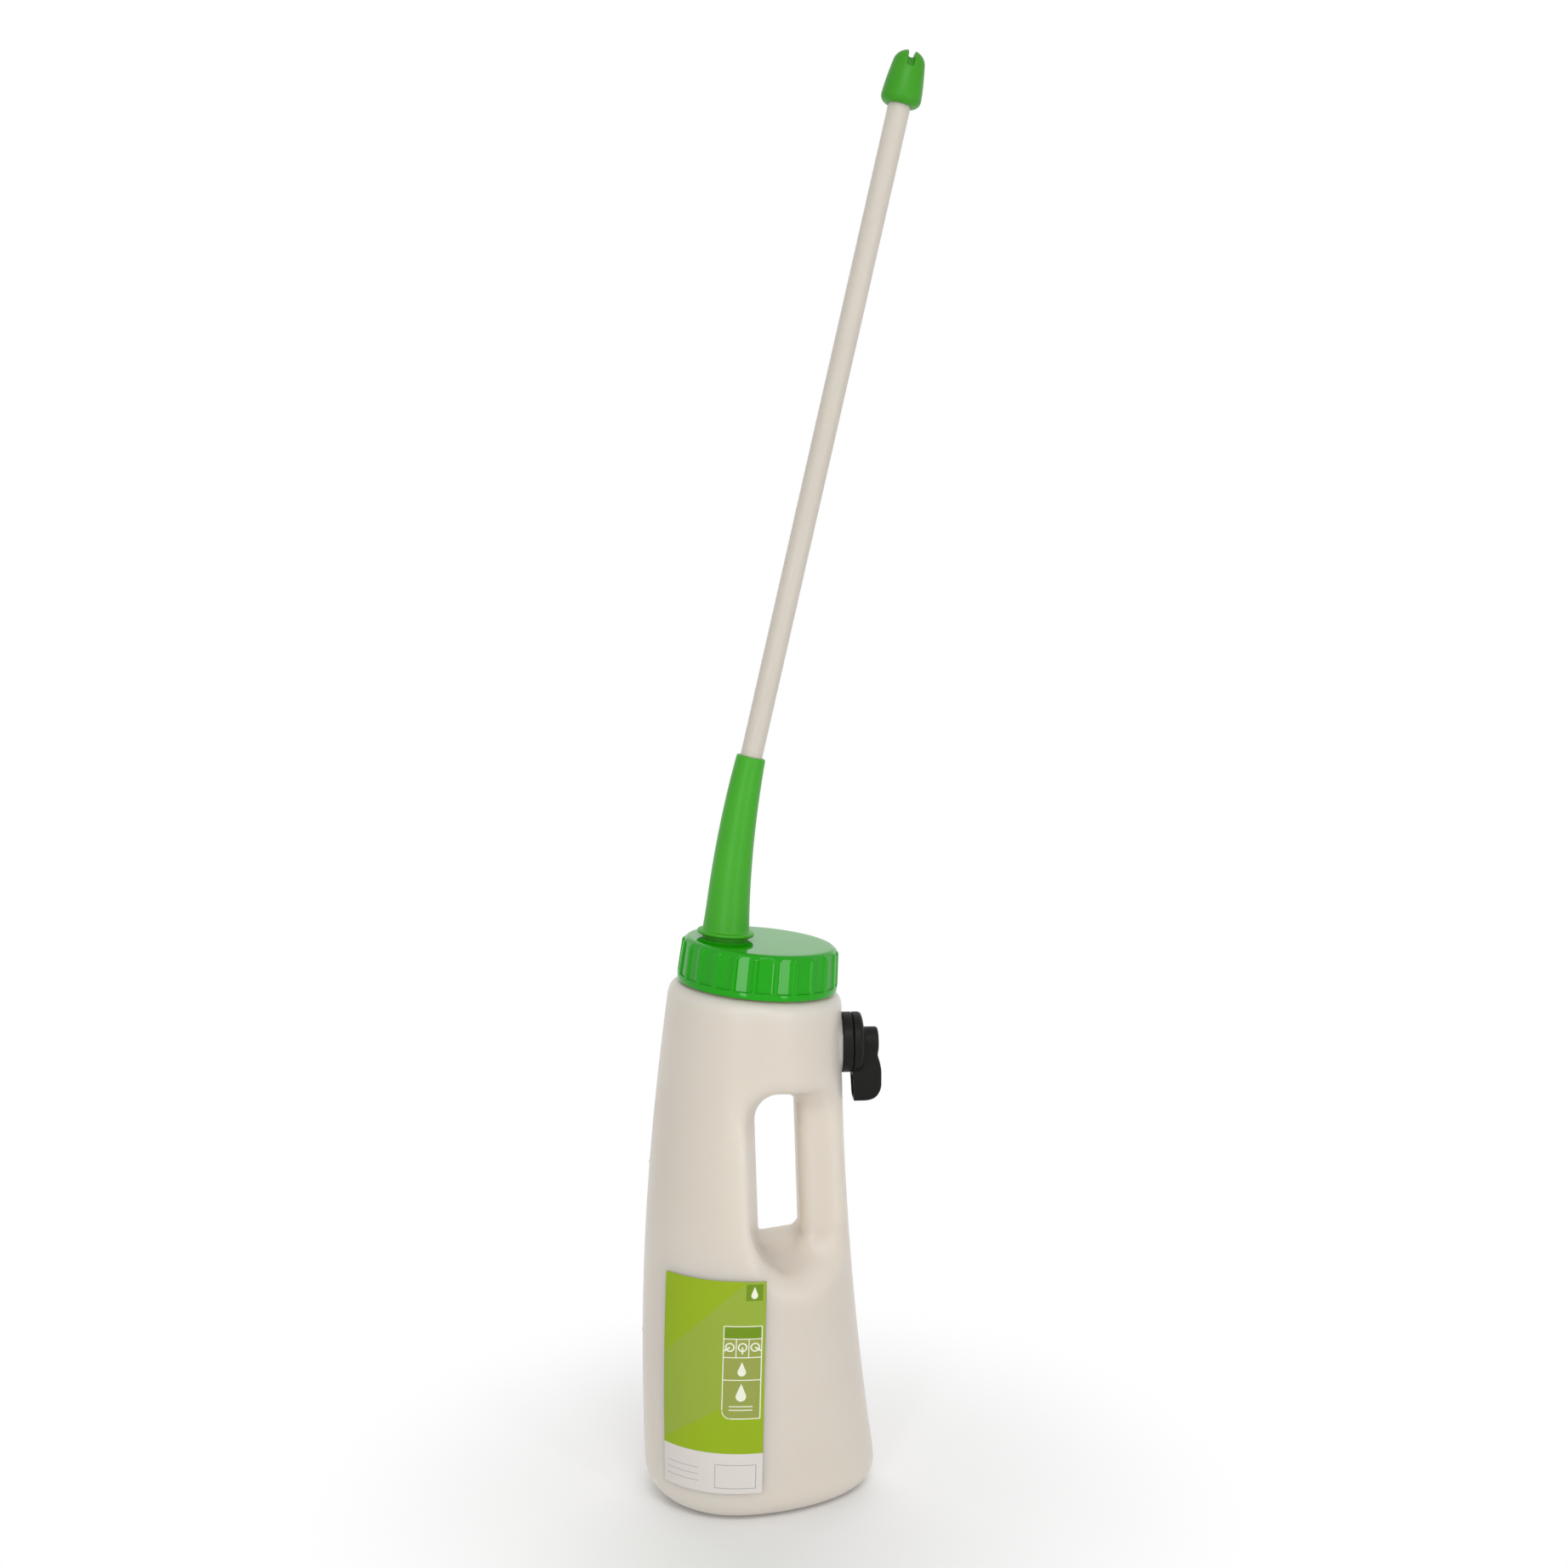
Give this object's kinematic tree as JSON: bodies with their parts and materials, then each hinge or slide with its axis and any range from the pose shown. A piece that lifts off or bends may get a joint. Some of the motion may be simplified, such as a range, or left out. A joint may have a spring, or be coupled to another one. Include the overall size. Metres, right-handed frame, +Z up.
{
  "type": "livestock drencher",
  "caption": "Hand-held drenching bottle with a hand hole through its side, a ribbed screw cap with curved spout, a long feeding tube with rounded probe tip and a rotary air valve.",
  "frame": {"origin": "middle of the overall box on the standing plane, with the lever hanging down", "axes": "+Z up, +X from the bottle's front to the handle and the air valve, +Y away from the label"},
  "size_m": [0.1658, 0.1099, 0.8488],
  "materials": {
    "bottle_plastic": "satin, slightly translucent blown polyethylene",
    "label_film": "printed film",
    "cap_plastic": "glossy moulded",
    "seal_rubber": "soft rubber",
    "spout_plastic": "satin soft moulded",
    "tube_plastic": "satin extruded",
    "tip_plastic": "satin moulded",
    "valve_plastic": "semi-gloss moulded"
  },
  "bodies": {
    "bottle": {"bottle": "bottle_plastic", "label": "label_film", "valve_collar": "valve_plastic", "valve_gasket": "seal_rubber", "spindle_rings": "seal_rubber"},
    "cap_seal": {"cap_gasket": "seal_rubber"},
    "cap": {"screw_cap": "cap_plastic", "spout": "spout_plastic", "feeding_tube": "tube_plastic", "probe_tip": "tip_plastic"},
    "valve_knob": {"valve_knob": "valve_plastic"}
  },
  "joints": [
    {"name": "cap_lift", "type": "slide", "parent": "bottle", "child": "cap_seal", "axis": [0.0906, 0, 0.9959], "range_m": [0, 0.008]},
    {"name": "cap_turn", "type": "hinge", "parent": "cap_seal", "child": "cap", "pos_m": [-0.0134, 0, 0.3115], "axis": [0.0906, 0, 0.9959], "range_deg": [0, 720]},
    {"name": "valve_turn", "type": "hinge", "parent": "bottle", "child": "valve_knob", "pos_m": [0.04, 0, 0.2755], "axis": [1, 0, 0], "range_deg": [-90, 90]}
  ],
  "couplings": [
    {"joint": "cap_lift", "follows": "cap_turn", "m_per_rad": 0.00063662}
  ]
}
